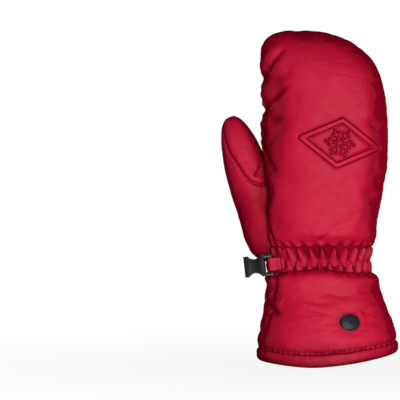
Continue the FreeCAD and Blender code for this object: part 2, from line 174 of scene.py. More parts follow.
def curved(points, steps=12):
    """A smooth curve through points (Catmull-Rom), as an array of points."""
    p = np.asarray(points, float)
    p = np.vstack([2 * p[0] - p[1], p, 2 * p[-1] - p[-2]])
    out = []
    for k in range(1, len(p) - 2):
        for t in np.linspace(0, 1, steps, endpoint=False):
            a, b, c, d = p[k - 1], p[k], p[k + 1], p[k + 2]
            out.append(0.5 * (2 * b + (c - a) * t + (2 * a - 5 * b + 4 * c - d) * t ** 2
                              + (3 * b - a - 3 * c + d) * t ** 3))
    out.append(p[-2])
    return np.array(out)


# ------------------------------ meshes
def read(mesh):
    """Vertex places in mm."""
    co = np.empty(len(mesh.vertices) * 3)
    mesh.vertices.foreach_get("co", co)
    return co.reshape(-1, 3) / MM


def write(mesh, places):
    mesh.vertices.foreach_set("co", (places * MM).ravel())
    mesh.update()


def normals(mesh):
    n = np.empty(len(mesh.vertices) * 3)
    mesh.vertex_normals.foreach_get("vector", n)
    return n.reshape(-1, 3)


def in_scene(name, data):
    obj = bpy.data.objects.new(name, data)
    bpy.context.scene.collection.objects.link(obj)
    return obj


def new_object(name, places, faces, *materials):
    mesh = bpy.data.meshes.new(name)
    mesh.from_pydata((np.asarray(places) * MM).tolist(), [], faces)
    mesh.validate()
    for material in materials:
        mesh.materials.append(material)
    return in_scene(name, mesh)


def assign(target, **settings):
    for key, value in settings.items():
        setattr(target, key, value)
    return target


def bake(obj):
    """Replaces the object's mesh with what its modifiers make of it, and clears them."""
    graph = bpy.context.evaluated_depsgraph_get()
    mesh = bpy.data.meshes.new_from_object(obj.evaluated_get(graph))
    obj.modifiers.clear()
    obj.data = mesh
    return obj


def modify(obj, kind, **settings):
    return assign(obj.modifiers.new(kind.title(), kind), **settings)


def joined(name, nodes):
    """One object with copies of the CAD nodes' meshes, their split vertices merged."""
    work = bmesh.new()
    for node in nodes:
        work.from_mesh(frame["nodes"][node].data)
    bmesh.ops.remove_doubles(work, verts=work.verts, dist=0.01 * MM)
    mesh = bpy.data.meshes.new(name)
    work.to_mesh(mesh)
    work.free()
    return in_scene(name, mesh)


def closed_shell(name, nodes, voxel, closing=1.2):
    """The union of CAD nodes as one even closed mesh. Gaps narrower than twice closing are filled."""
    obj = joined(name, nodes)
    write(obj.data, read(obj.data) + normals(obj.data) * closing)
    modify(obj, "REMESH", mode="VOXEL", voxel_size=voxel * MM)
    bake(obj)
    write(obj.data, read(obj.data) - normals(obj.data) * closing)
    modify(obj, "SMOOTH", factor=0.5, iterations=3)
    return bake(obj)


SIM_SCALE = 10.0            # cloth behaves best on pieces a metre or two long, so it's simulated enlarged
SIM_FRAMES = 20
PRESSURE = 4.0
GROWTH = 0.02               # share by which the leather may grow


def inflate(obj, free, cap):
    """Cloth under pressure: padded leather swells between its seams. free is 0 where a point is held.
    No point moves further than cap mm."""
    start = read(obj.data)
    write(obj.data, start * SIM_SCALE)
    group = obj.vertex_groups.new(name="held")
    for k, value in enumerate(free):
        group.add([k], 1 - float(value), "REPLACE")
    modifier = modify(obj, "CLOTH")
    assign(modifier.settings, quality=6, mass=0.3, tension_stiffness=30, compression_stiffness=20,
           shear_stiffness=10, bending_stiffness=1.5, vertex_group_mass="held", use_pressure=True,
           uniform_pressure_force=PRESSURE, shrink_min=-GROWTH)
    modifier.settings.effector_weights.gravity = 0
    modifier.point_cache.frame_end = SIM_FRAMES
    for step in range(1, SIM_FRAMES + 1):
        bpy.context.scene.frame_set(step)
    bake(obj)
    obj.vertex_groups.clear()
    moved = read(obj.data) / SIM_SCALE - start
    far = np.linalg.norm(moved, axis=1)
    moved *= (cap / np.maximum(far, cap))[:, None]
    print("SIM", obj.name, len(start), "points, moved up to", round(float(far.max()), 2), "mean",
          round(float(far.mean()), 2))
    write(obj.data, start + moved)
    bpy.context.scene.frame_set(1)
    modify(obj, "SMOOTH", factor=0.5, iterations=2)
    return bake(obj)


def refine(obj):
    """Splits every face in 16 and rounds the mesh."""
    modify(obj, "SUBSURF", levels=2, render_levels=2, quality=2)
    return bake(obj)


# ------------------------------ shared shape of the tubes
WRIST_X = (WRIST_LOW[0] + WRIST_HIGH[0]) / 2
PLEATS = 30
SHIRR_LOW = WRIST_LOW[2]
SHIRR_HIGH = WRIST_HIGH[2]
SHIRR_TUCK = 3.5            # how far the shirring runs on under the hand and into the gauntlet
FULL_TURN = 2 * math.pi


def wrist_angle(p):
    """Angle round the wrist's oval, 0 at the little-finger side, with nearly even steps along the skin."""
    half = (WRIST_HIGH - WRIST_LOW) / 2
    return np.arctan2(p[:, 1] / half[1], (p[:, 0] - WRIST_X) / half[0])


PLEAT_LEAN = 0.028           # pleats per mm of height, on the thumb side


def pleat_phase(p):
    """Counts the pleats round the wrist. The spacing wanders a little, as gathered leather's does, and the
    pleats lean towards the thumb on its side."""
    turn = wrist_angle(p)
    ring = np.column_stack([np.cos(turn), np.sin(turn), np.zeros(len(turn))])
    lean = PLEAT_LEAN * (p[:, 2] - SHIRR_LOW) * smooth((20 - p[:, 0]) / 40)
    return PLEATS * turn / FULL_TURN + 0.2 * NOISE(ring + 7.3, 0.5) + lean


HEM_LOWEST_X = -15.0
HEM_RISE_THUMB_SIDE, HEM_RISE_FINGER_SIDE = 4.5, 11.5


def hem_lift(p):
    """How much the hem rises towards the sides: it hangs lowest a little to the thumb side of the middle."""
    right = p[:, 0] > HEM_LOWEST_X
    reach = np.where(right, CUFF_HIGH[0], CUFF_LOW[0]) - HEM_LOWEST_X
    side = np.clip((p[:, 0] - HEM_LOWEST_X) / reach, 0, 1.05)
    rise = np.where(right, HEM_RISE_FINGER_SIDE, HEM_RISE_THUMB_SIDE) * side ** 1.6
    return rise * (1 - smooth(p[:, 2] / 62.0))


def shell_skin(obj, centre):
    """A shell's vertices, their normals, and how they face: 1 away from the tube's axis, -1 towards it."""
    p, n = read(obj.data), normals(obj.data)
    away = p - centre(p)
    return p, n, (away * n).sum(1) / np.maximum(np.linalg.norm(away, axis=1), 1e-6)


def back_side(p, n):
    """1 on skin that faces the back of the hand, fading out before the side seam."""
    return smooth(-n[:, 1] * 3) * smooth((-p[:, 1] - 1) / 5)


def fold(p, n_out, line, depth, width, swell=0.0):
    """Inward-outward move of a fold along a line in (x, z): a sharp valley with a soft roll on its left."""
    d, t, side = line_distance(p[:, [0, 2]], line)
    fade = smooth(t / 0.12) * smooth((1 - t) / 0.35)
    roll = swell * bell(d - 2.6 * width, 2.0 * width) * smooth(side / width)
    return (-depth * bell(d, width) + roll) * fade * n_out


# ------------------------------ hand and fingers
def hand_spot(u, w):
    """(x, z) at a share u across the hand's width and w of the way from its bottom to the fingertips."""
    return (HAND_LOW[0] + u * (HAND_HIGH[0] - HAND_LOW[0]), HAND_LOW[2] + w * (TIP_Z - HAND_LOW[2]))


def hand_line(*shares):
    return curved([hand_spot(u, w) for u, w in shares])


EMBLEM_LOW, EMBLEM_HIGH = box_mm("emblem_relief")
EMBLEM = (EMBLEM_LOW + EMBLEM_HIGH) / 2
EMBLEM_TILT = math.radians(-8)
LOZENGE_WIDE, LOZENGE_TALL = 33.0, 19.5
LOZENGE_BAND = 4.6
FLAKE_ARM, FLAKE_BAND = 12.0, 2.0
FLAKE_BRANCH_AT, FLAKE_BRANCH = 7.0, 3.2
EMBLEM_RISE = 1.5


def emblem_bars():
    """(start, end, band) of the lozenge's sides and the snowflake's arms, in the emblem's own plane."""
    corners = np.array([(LOZENGE_WIDE, 0), (0, LOZENGE_TALL), (-LOZENGE_WIDE, 0), (0, -LOZENGE_TALL)])
    bars = [(a, b, LOZENGE_BAND) for a, b in zip(corners, np.roll(corners, -1, axis=0))]
    for k in range(6):
        turn = math.radians(60 * k)
        out = np.array([math.cos(turn), math.sin(turn)])
        bars.append((np.zeros(2), out * FLAKE_ARM, FLAKE_BAND))
        for side in (-1, 1):
            lean = turn + side * math.radians(60)
            start = out * FLAKE_BRANCH_AT
            tip = start + FLAKE_BRANCH * np.array([math.cos(lean), math.sin(lean)])
            bars.append((start, tip, FLAKE_BAND))
    return bars


def emblem_rise(p):
    """Soft relief of the emblem: rounded bands with a pressed line along their edges."""
    c, s = math.cos(EMBLEM_TILT), math.sin(EMBLEM_TILT)
    flat = p[:, [0, 2]] - EMBLEM[[0, 2]]
    flat = np.column_stack([flat @ (c, s), flat @ (-s, c)])
    edge = np.full(len(p), 1e9)
    for a, b, band in emblem_bars():
        d, _, _ = line_distance(flat, [a, b])
        edge = np.minimum(edge, d - band / 2)
    return EMBLEM_RISE * smooth((0.55 - edge) / 1.7) - 0.55 * bell(edge - 0.9, 0.65)


# Each fold: (line as shares of the hand's width and height, depth, width, swell beside it).
HAND_FOLDS = (
    (((-0.02, 0.755), (0.05, 0.815), (0.12, 0.872), (0.21, 0.925)), 1.7, 2.3, 1.5),     # finger end
    (((-0.02, 0.635), (0.07, 0.668), (0.14, 0.706), (0.25, 0.765)), 1.5, 2.6, 0.5),     # index side
    (((0.0, 0.462), (0.045, 0.41), (0.085, 0.36), (0.135, 0.325)), 2.0, 3.4, 0.8),      # crotch of the thumb
    (((0.0, 0.30), (0.03, 0.20), (0.055, 0.11), (0.10, 0.04), (0.14, -0.02)), 1.5, 1.3, 0.5),   # its ball
    (((0.44, 0.02), (0.54, 0.072), (0.68, 0.135)), 0.9, 4.0, 0.5),                      # over the shirring
)
# The outline on the index side: (share of the height, outward move, half width as a share).
INDEX_OUTLINE = ((0.772, -2.0, 0.022), (0.628, -2.6, 0.022), (0.70, 0.9, 0.035), (0.56, 0.9, 0.035))


def hand_details(p, n):
    """Outward moves, in mm, that make the seams, folds and wrinkles of the hand's leather."""
    front = back_side(p, n)
    u = (p[:, 0] - HAND_LOW[0]) / (HAND_HIGH[0] - HAND_LOW[0])
    w = (p[:, 2] - HAND_LOW[2]) / (TIP_Z - HAND_LOW[2])
    move = 0.9 * fractal(p, (44, 34, 50), 2) + 0.22 * fractal(p, (19, 17, 22), 2, WARP)

    # side seam all round, drawn in, with puckers where the index finger's side is eased in
    thumb_side = smooth((0.35 - u) / 0.3)
    seam = bell(p[:, 1], 1.5)
    move -= 1.1 * seam * smooth((w - 0.02) / 0.05)
    around = p[:, 2] + 0.6 * p[:, 0]
    pucker = np.sin(2 * math.pi * around / 8.6 + 2.2 * NOISE(p, 18))
    eased = 0.6 * thumb_side * bell(w - 0.64, 0.11) + 0.12
    move += pucker * bell(p[:, 1], 6.0) * eased * smooth((w - 0.05) / 0.08)

    # folds, the notches and bulges of the outline they end in, and three dimples
    for shares, depth, width, swell in HAND_FOLDS:
        move += fold(p, front, hand_line(*shares), depth, width, swell)
    for height, rise, width in INDEX_OUTLINE:
        move += rise * bell(w - height, width) * bell(p[:, 1], 13.0) * thumb_side
    between_folds = np.exp(-((u - 0.15) / 0.085) ** 2 - ((w - 0.765 - 0.5 * (u - 0.15)) / 0.045) ** 2)
    below_folds = np.exp(-((u - 0.11) / 0.06) ** 2 - ((w - 0.585) / 0.025) ** 2)
    finger_side = np.exp(-((u - 0.93) / 0.06) ** 2 - ((w - 0.64) / 0.07) ** 2)
    move -= (1.7 * between_folds + 2.2 * below_folds + 1.2 * finger_side) * front

    # shallow creases of soft leather, finer near the edges
    bent = warped(p, 5.0, 22)
    calm = 1 - 0.75 * bell(np.linalg.norm((p - EMBLEM)[:, [0, 2]] / (38, 25), axis=1), 1.0) * front
    edge = smooth((np.abs(u - 0.5) - 0.25) / 0.2)
    move -= (0.12 + 0.26 * edge) * ridges(bent, (26, 20, 11)) * calm
    move -= 0.08 * ridges(bent + 31, (9, 9, 3.6)) * calm * (0.5 + 0.5 * edge)

    # pleats run up out of the shirring
    above = p[:, 2] - SHIRR_HIGH
    pleats = np.abs(np.cos(math.pi * pleat_phase(p)))
    move += (2.3 * pleats - 2.0) * (1 - smooth((above - 0.5) / 7.5)) + 1.0 * bell(above - 11, 7.0)
    move += emblem_rise(p) * front * smooth((26 - np.abs(p[:, 2] - EMBLEM[2])) / 3)
    return move


def split_inside(obj, outward, leather, lining):
    """Two materials on one closed shell: leather where it faces out, lining where it faces in."""
    mesh = obj.data
    mesh.materials.clear()
    mesh.materials.append(leather)
    mesh.materials.append(lining)
    inside = outward < 0
    for face in mesh.polygons:
        face.material_index = int(all(inside[v] for v in face.vertices))


def painted_shade(move):
    """Painted shade for a fold: how much darker its colour is made, from how far the skin is drawn in."""
    return np.clip((-move - 1.0) / 2.4, 0, 1)


def store(obj, name, values):
    """Keeps a number per vertex for the material to read."""
    layer = obj.data.attributes.new(name, "FLOAT", "POINT")
    layer.data.foreach_set("value", np.asarray(values, np.float32))


def shade_smooth(obj):
    obj.data.polygons.foreach_set("use_smooth", [True] * len(obj.data.polygons))
    obj.data.update()


def stands_for(obj, slot, *nodes):
    """Shades the piece smooth and hides the CAD nodes that it replaces. The slot argument is not used."""
    shade_smooth(obj)
    if nodes:
        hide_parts(*nodes)


def subdivide_near(obj, chosen):
    """Splits the faces whose vertices are all chosen, once more."""
    work = bmesh.new()
    work.from_mesh(obj.data)
    work.verts.ensure_lookup_table()
    faces = [f for f in work.faces if all(chosen[v.index] for v in f.verts)]
    edges = list({e for f in faces for e in f.edges})
    bmesh.ops.subdivide_edges(work, edges=edges, cuts=1, use_grid_fill=True, smooth=0)
    work.to_mesh(obj.data)
    work.free()


def hand_centre(p):
    """The nearest point of the hand's inner axis."""
    x = (HAND_LOW[0] + HAND_HIGH[0]) / 2 - 4.0
    top = TIP_Z - 42.0
    return np.column_stack([np.full(len(p), x), np.zeros(len(p)), np.minimum(p[:, 2], top)])


def build_hand(leather, lining):
    """Back and palm of the hand and fingers: one padded shell."""
    nodes = ["back_panel", "palm_panel", "back_padding", "palm_padding", "hand_membrane", "hand_lining",
             "finger_back_panel", "finger_palm_panel", "finger_padding", "finger_membrane", "finger_lining"]
    obj = closed_shell("hand_shell", nodes, 3.3)
    p, _, out = shell_skin(obj, hand_centre)
    free = smooth(out * 4) * (1 - bell(p[:, 1], 2.5)) * smooth((p[:, 2] - HAND_LOW[2] - 2) / 12)
    inflate(obj, free, cap=2.2)
    refine(obj)
    p, _, out = shell_skin(obj, hand_centre)
    away = np.abs(p - EMBLEM)
    subdivide_near(obj, (away[:, 0] < 39) & (away[:, 2] < 25) & (p[:, 1] < -8) & (out > 0))
    p, n, out = shell_skin(obj, hand_centre)
    move = hand_details(p, n)
    outer = smooth(out * 4)
    pile = 0.5 * FINE(p, 3.0)
    write(obj.data, p + n * (move * outer + pile * smooth(-out * 4))[:, None])
    # Painted shade: the folds and seams of the outer leather darker, kept for the material.
    store(obj, "painted_shade", painted_shade(move) * outer)
    split_inside(obj, out, leather, lining)
    stands_for(obj, "red_leather", *nodes, "emblem_relief")
    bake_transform(obj)


# ------------------------------ thumb
THUMB_ACROSS = np.array([THUMB_AXIS[2], 0, -THUMB_AXIS[0]])


def thumb_flat(p):
    """(along the thumb from its pivot, across it) for points p."""
    rel = p - THUMB_PIVOT
    return np.column_stack([rel @ THUMB_AXIS, rel @ THUMB_ACROSS])


def thumb_centre(p):
    along = np.clip((p - THUMB_PIVOT) @ THUMB_AXIS, -60, 56)
    return THUMB_PIVOT + along[:, None] * THUMB_AXIS


# The seam down the thumb's back and round its root, as (along, across) from the pivot in mm.
THUMB_SEAM = ((70, -8.5), (62.7, -10.2), (43.8, -10.6), (29, -6.7), (13.7, -1.5), (6.5, 7.0), (4, 20))
THUMB_CREASE = ((22, 13), (17, 8), (13, 1))


def thumb_details(p, n):
    """Outward moves, in mm, that make the seam, creases and wrinkles of the thumb's leather."""
    flat = thumb_flat(p)
    move = 0.35 * fractal(p, (26, 22, 30), 2)
    d, t, side = line_distance(flat, curved(THUMB_SEAM))
    for face in (-1, 1):
        here = smooth(face * n[:, 1] * 3) * smooth((face * (p[:, 1] - THUMB_PIVOT[1]) - 1) / 4)
        move -= 1.5 * bell(d, 1.15) * here
        move += 0.9 * bell(d - 4.5, 3.0) * here * smooth(-side / 2)
        pucker = np.sin(2 * math.pi * t * 17 + 2 * NOISE(p, 15))
        move += 0.16 * pucker * bell(d, 4.0) * here
    front = smooth(-n[:, 1] * 3)
    d, t, _ = line_distance(flat, curved(THUMB_CREASE))
    move -= 1.3 * bell(d, 1.4) * front * smooth((1 - t) / 0.5)
    bent = warped(p, 4.0, 18)
    low = 1 - smooth((flat[:, 0] + 5) / 30)
    move -= (0.06 + 0.14 * low) * ridges(bent, (18, 16, 9))
    move -= 0.04 * ridges(bent + 31, (7, 7, 3.4))
    return move


BALL_DROP = 15.0            # how far the ball's bottom comes down beside the shirring
BALL_INTO_HAND = 3.5        # how far its inner edge sinks into the hand's padding
BALL_TAPER = 5.0            # how far it leans back towards the wrist as it goes down


def round_under(p):
    """Closes the ball of the thumb: down beside the shirring, round at its bottom, and tight to the hand."""
    bottom = HAND_LOW[2]
    beside = smooth((p[:, 0] - (WRIST_LOW[0] - 12)) / 10) * (1 - smooth((p[:, 2] - bottom - 24) / 20))
    p[:, 0] += BALL_INTO_HAND * beside
    p[:, 2] -= BALL_DROP * np.clip((bottom + 20 - p[:, 2]) / 20, 0, 1) ** 1.6
    p[:, 0] += BALL_TAPER * smooth((bottom + 12 - p[:, 2]) / 24)
    under = np.clip((bottom - 4 - p[:, 2]) / (BALL_DROP - 4), 0, 1) ** 1.8
    p[:, 0] += under * 0.8 * np.maximum(WRIST_LOW[0] + 2 - p[:, 0], 0)
    p[:, 1] += under * 0.45 * (THUMB_PIVOT[1] - p[:, 1])
    return p


def build_thumb(leather, lining):
    """Thumb and the ball of the thumb: one padded shell."""
    nodes = ["thumb_back_panel", "thumb_side_panel", "thumb_palm_panel", "thumb_padding", "thumb_membrane",
             "thumb_lining", "thenar_panel", "thenar_padding"]
    obj = closed_shell("thumb_shell", nodes, 2.8)
    p, _, out = shell_skin(obj, thumb_centre)
    free = smooth(out * 4) * smooth((p[:, 2] - HAND_LOW[2] - 2) / 12)
    inflate(obj, free, cap=1.4)
    refine(obj)
    p, n, out = shell_skin(obj, thumb_centre)
    outer = smooth(out * 4)
    move = thumb_details(p, n)
    write(obj.data, round_under(p + n * (move * outer)[:, None]))
    # Painted shade: the front of the thumb's ball darker beside the hand, and its folds darker, kept for the
    # material.
    low = 1 - smooth((thumb_flat(p)[:, 0] + 8) / 30)
    shaded = 0.5 * low * smooth(-n[:, 1] * 3)
    store(obj, "painted_shade", np.maximum(painted_shade(move), shaded) * outer)
    split_inside(obj, out, leather, lining)
    stands_for(obj, "red_leather", *nodes)
    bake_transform(obj)


# ------------------------------ rings: wrist, hem and lining
class Outline:
    """Outermost skin of some CAD nodes round the mitten's upright axis, found by casting rays inwards."""

    def __init__(self, nodes, centre_x):
        places, faces = [], []
        for node in nodes:
            mesh = frame["nodes"][node].data
            first = len(places)
            places.extend(Vector(p) for p in read(mesh))
            faces.extend([tuple(first + v for v in f.vertices) for f in mesh.polygons])
        self.tree = BVHTree.FromPolygons(places, faces)
        self.centre_x = centre_x

    def hit(self, turn, z, squash, inwards=True):
        way = Vector((math.cos(turn), squash * math.sin(turn), 0)).normalized()
        centre = Vector((self.centre_x, 0, z))
        origin, ray = (centre + way * 200, -way) if inwards else (centre, way)
        found = self.tree.ray_cast(origin, ray)[0]
        return np.array(found if found else centre + way * 40)


def strip_faces(rows, columns, closed_rows=False):
    """Quads of a grid that closes round its columns, and round its rows too if asked."""
    faces = []
    for i in range(rows if closed_rows else rows - 1):
        for j in range(columns):
            a, b = i * columns + j, i * columns + (j + 1) % columns
            above = ((i + 1) % rows) * columns
            faces.append((a, b, above + (j + 1) % columns, above + j))
    return faces


def build_shirring(leather, lining):
    """The gathered wrist: staggered rows of pleats between elastic lines, on a fleece sleeve."""
    outline = Outline(["wrist_gathers"], WRIST_X)
    columns = PLEATS * 16
    squash = (WRIST_HIGH - WRIST_LOW)[1] / (WRIST_HIGH - WRIST_LOW)[0]
    low, high = SHIRR_LOW - SHIRR_TUCK, SHIRR_HIGH + SHIRR_TUCK
    outer_z = np.linspace(low, high, 44)
    inner_z = np.linspace(high, low, 12)
    wall = 5.2
    skin_z = np.linspace(SHIRR_LOW + 0.4, SHIRR_HIGH - 0.4, 9)
    turns = np.linspace(0, FULL_TURN, columns, endpoint=False)
    skin = np.array([[outline.hit(t, z, squash) for t in turns] for z in skin_z])

    def row_at(z):
        """The smooth skin at one height, and the way out from it."""
        share = np.clip((z - skin_z[0]) / (skin_z[-1] - skin_z[0]), 0, 1) * (len(skin_z) - 1)
        k = min(int(share), len(skin_z) - 2)
        row = skin[k] * (1 - share + k) + skin[k + 1] * (share - k)
        row[:, 2] = z
        away = (row - (WRIST_X, 0, 0)) * (1, 1, 0)
        return row, away / np.linalg.norm(away, axis=1)[:, None]

    rows, heights = [], []
    for z in outer_z:
        row, away = row_at(z)
        heights.append(flat_under_tab(row, pleat_height(row, z)))
        rows.append(row + away * heights[-1][:, None])
    for z in inner_z:
        row, away = row_at(z)
        rows.append(row - away * (wall + 0.5 * FINE(row, 3.0))[:, None])
    places = np.vstack(rows)
    obj = new_object("wrist_shirring", places, strip_faces(len(rows), columns, closed_rows=True))
    outside = len(outer_z) * columns
    split_inside(obj, np.where(np.arange(len(places)) < outside, 1, -1), leather, lining)
    # Painted shade: the valleys between the pleats darker, kept for the material.
    depth = np.zeros(len(places))
    depth[:outside] = np.clip(-0.15 - np.concatenate(heights) / 2.4, 0, 1)
    store(obj, "painted_shade", depth)
    stands_for(obj, "red_leather", "wrist_gathers", "wrist_elastic_lower", "wrist_elastic_upper",
               "wrist_lining")
    bend_wrist(obj)


def bend_wrist(obj):
    """Bakes the wrist leather's transform into its mesh."""
    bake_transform(obj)


# Each row: (tip, foot, shift), the first two as shares of the shirring's height, the last in pleats.
PLEAT_ROWS = ((1.10, 0.49, 0.5), (0.57, 0.02, 0.0), (0.10, -0.40, 0.5))
PLEAT_RISE = 3.6
PLEAT_ROOT = -2.3
TAB_ROOT = joint_mm("tab_swing")
UNDER_TAB = -0.8            # the leather's height where the tab lies on it
FLAT_WIDE, FLAT_TALL = 9.0, 9.0     # half width and half height of the flat place
FLAT_EDGE = 5.0


def flat_under_tab(row, height):
    """The pleats pressed flat round the tab's root, with room above and below it for the wrist to bend."""
    away = np.linalg.norm((row - TAB_ROOT)[:, :2], axis=1)
    level = np.abs(row[:, 2] - TAB_ROOT[2])
    near = bell(away, FLAT_WIDE) * (1 - smooth((level - FLAT_TALL) / FLAT_EDGE))
    return height + (UNDER_TAB - height) * near


def pleat_height(row, z):
    """Outward height at one level: rows of spikes that point up, each row half a pleat along from the next.
    A spike is sharp at its tip, widest at its foot, and flattens there into the row below."""
    phase = pleat_phase(row)
    share = (z - SHIRR_LOW) / (SHIRR_HIGH - SHIRR_LOW)
    height = np.full(len(row), PLEAT_ROOT)
    for tip, foot, shift in PLEAT_ROWS:
        down = (tip - share) / (tip - foot)
        if not 0 < down < 1.4:
            continue
        wide = 0.56 * min(down, 1.0) ** 0.75
        across = np.abs((phase + shift) % 1 - 0.5)
        body = np.clip(1 - (across / wide) ** 1.5, 0, 1)
        full = smooth(0.2 + down / 0.5) * (1 - 0.6 * smooth((down - 0.5) / 0.8))
        height = np.maximum(height, PLEAT_ROOT + PLEAT_RISE * full * body ** 0.8)
    return height + 0.25 * NOISE(row, (5, 5, 7))


def build_hem(leather):
    """The rolled hem, with the gauntlet's leather pulled in along its top by the seam."""
    low, high = HEM_LOW, HEM_HIGH
    height = high[2] - low[2]
    squash = (high - low)[1] / (high - low)[0]
    outline = Outline(["hem_binding"], 0.0)
    columns, around = 480, 28
    turns = np.linspace(0, FULL_TURN, columns, endpoint=False)
    middle = low[2] + height / 2
    outer = np.array([outline.hit(t, low[2] + 1.0, squash) for t in turns])
    inner = np.array([outline.hit(t, low[2] + 1.0, squash, inwards=False) for t in turns])
    core, thick = (outer + inner) / 2, (outer - inner) / 2
    half = np.linalg.norm(thick, axis=1)
    way = thick / half[:, None]
    rows = []
    for k in range(around):
        turn = FULL_TURN * k / around
        c, s = math.cos(turn), math.sin(turn)
        u = math.copysign(abs(c) ** 0.8, c)
        v = math.copysign(abs(s) ** 0.8, s)
        row = core + way * (half * u)[:, None]
        row[:, 2] = middle + v * height / 2
        lumps = 0.35 * NOISE(row, (9, 9, 12)) + 0.15 * NOISE(row, 3.5)
        pucker = 0.3 * np.sin(row[:, 0] * 1.3 + 3 * NOISE(row, 18)) * smooth(v) * smooth(u + 0.5)
        row = row + way * ((lumps + pucker - 0.3) * u)[:, None]
        row[:, 2] += np.where(v > 0, lumps * v, 0)
        row[:, 2] += hem_lift(row)
        rows.append(row)
    faces = strip_faces(around, columns, closed_rows=True)
    obj = new_object("hem_roll", np.vstack(rows), faces, leather)
    # Painted shade: the top of the roll darker, under the gauntlet's leather.
    upper = np.maximum(0.0, np.sin(FULL_TURN * np.arange(around) / around))
    store(obj, "painted_shade", np.repeat(0.35 * upper ** 3, columns))
    stands_for(obj, "red_leather", "hem_binding")
    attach(obj, "cuff")


# ------------------------------ gauntlet
BADGE_LOW, BADGE_HIGH = box_mm("badge_plate")
BADGE = (BADGE_LOW + BADGE_HIGH) / 2
CUFF_CROWN = 3.4            # how far the gauntlet's top rises over the shirring, mid back and mid palm


def cuff_centre(p):
    share = np.clip(p[:, 2] / CUFF_HIGH[2], 0, 1)
    return np.column_stack([WRIST_X * share, np.zeros(len(p)), p[:, 2]])


# Each fold: (line in x and z in mm, depth, width, swell beside it).
CUFF_FOLDS = (
    (((-57, 60), (-51, 52), (-46, 46.5), (-39, 43.5)), 2.2, 3.2, 1.8),      # roll on the thumb side
    (((-49, 47.5), (-53, 36), (-57, 24), (-60, 13)), 0.9, 1.5, 0.4),        # from the roll down to the hem
    (((-43, 82), (-45, 70), (-47, 60), (-46, 50)), 1.6, 2.6, 0.5),          # down from the clip's tab
    (((-30, 62), (-14, 56), (4, 55)), 0.45, 2.2, 0.2),
    (((-18, 50), (0, 46), (14, 47)), 0.4, 1.8, 0.2),
    (((-6, 66), (10, 61), (26, 63)), 0.35, 2.0, 0.2),
    (((-34, 38), (-16, 33), (2, 34)), 0.3, 2.0, 0.2),
    (((40, 58), (31, 49), (27, 41)), 0.5, 2.6, 0.2),
)


def gauntlet_details(p, n):
    """Outward moves, in mm, that make the seams, folds and gathers of the gauntlet's leather."""
    front = back_side(p, n)
    move = 0.9 * fractal(p, (40, 34, 34), 2) + 0.22 * fractal(p, (20, 18, 16), 2, WARP)
    top = CUFF_HIGH[2] - p[:, 2]

    move -= 1.2 * bell(p[:, 1], 1.5) * smooth(top / 6)
    eased = 0.10 + 0.20 * smooth(-p[:, 0] / 20)
    pucker = np.sin(2 * math.pi * p[:, 2] / 15.0 + 2.6 * NOISE(p, 18))
    move += pucker * bell(p[:, 1], 8.0) * eased * smooth(top / 10)

    for line, depth, width, swell in CUFF_FOLDS:
        move += fold(p, front, curved(line), depth, width, swell)
    move -= 1.6 * bell(p[:, 2] - 70, 3.5) * bell(p[:, 1], 12.0) * smooth(-p[:, 0] / 20)

    bent = warped(p, 4.0, 20)
    move -= 0.14 * ridges(bent, (26, 24, 8))
    move -= 0.07 * ridges(bent + 31, (9, 9, 2.8))

    # the padding swells under the shirring, pleats run down into it, and the hem's seam pulls it in
    move += 2.8 * bell(top - 6, 6.0)
    pleats = np.abs(np.sin(math.pi * pleat_phase(p)))
    drawn = 1.4 - 1.1 * bell(p[:, 0] - WRIST_X, 26.0)
    move += drawn * (pleats - 1.1) * (1 - smooth((top - 1) / 5.5))
    above = p[:, 2] - HEM_HIGH[2]
    tuck = 0.35 * np.sin(p[:, 0] * 1.3 + 3 * NOISE(p, 18))
    move += (tuck - 1.3) * bell(above, 2.6)

    # flat under the badge
    d = np.linalg.norm((p - BADGE) / (1, 1.6, 1), axis=1)
    calm = smooth((d - 9.0) / 8.0)
    return move * calm - 0.35 * bell(d - 9.5, 1.6) * front


def build_gauntlet(leather, lining):
    """The flared gauntlet: leather, padding and fleece as one shell."""
    nodes = ["gauntlet_back", "gauntlet_palm", "gauntlet_padding", "gauntlet_lining"]
    obj = closed_shell("gauntlet_shell", nodes, 3.2, closing=0.8)
    p, _, out = shell_skin(obj, cuff_centre)
    d = np.linalg.norm((p - BADGE), axis=1)
    free = smooth(out * 4) * (1 - bell(p[:, 1], 2.5)) * smooth((CUFF_HIGH[2] - p[:, 2] - 2) / 8)
    free *= smooth((p[:, 2] - 12) / 8) * smooth((d - 11) / 6)
    inflate(obj, free, cap=1.8)
    refine(obj)
    p, n, out = shell_skin(obj, cuff_centre)
    outer = smooth(out * 4)
    move = gauntlet_details(p, n)
    pile = 0.6 * FINE(p, 3.0) + 0.3 * FINE(p, 1.6)
    p = p + n * (move * outer + pile * smooth(-out * 4))[:, None]
    p[:, 2] += hem_lift(p)
    near_top = smooth((p[:, 2] - CUFF_HIGH[2] + 16) / 14)
    p[:, 2] += CUFF_CROWN * bell(p[:, 0] - WRIST_X, 27.0) * near_top * outer
    write(obj.data, p)
    # Painted shade: the folds and seams of the outer leather darker, kept for the material.
    store(obj, "painted_shade", painted_shade(move) * outer)
    split_inside(obj, out, leather, lining)
    stands_for(obj, "red_leather", *nodes)
    bend_wrist(obj)
    return obj


# ------------------------------ small parts
STITCH, STITCH_GAP = 2.0, 1.3
THREAD_RADIUS = 0.28
THREAD_SINK = 0.1           # how much deeper every part of a stitch is set into the leather


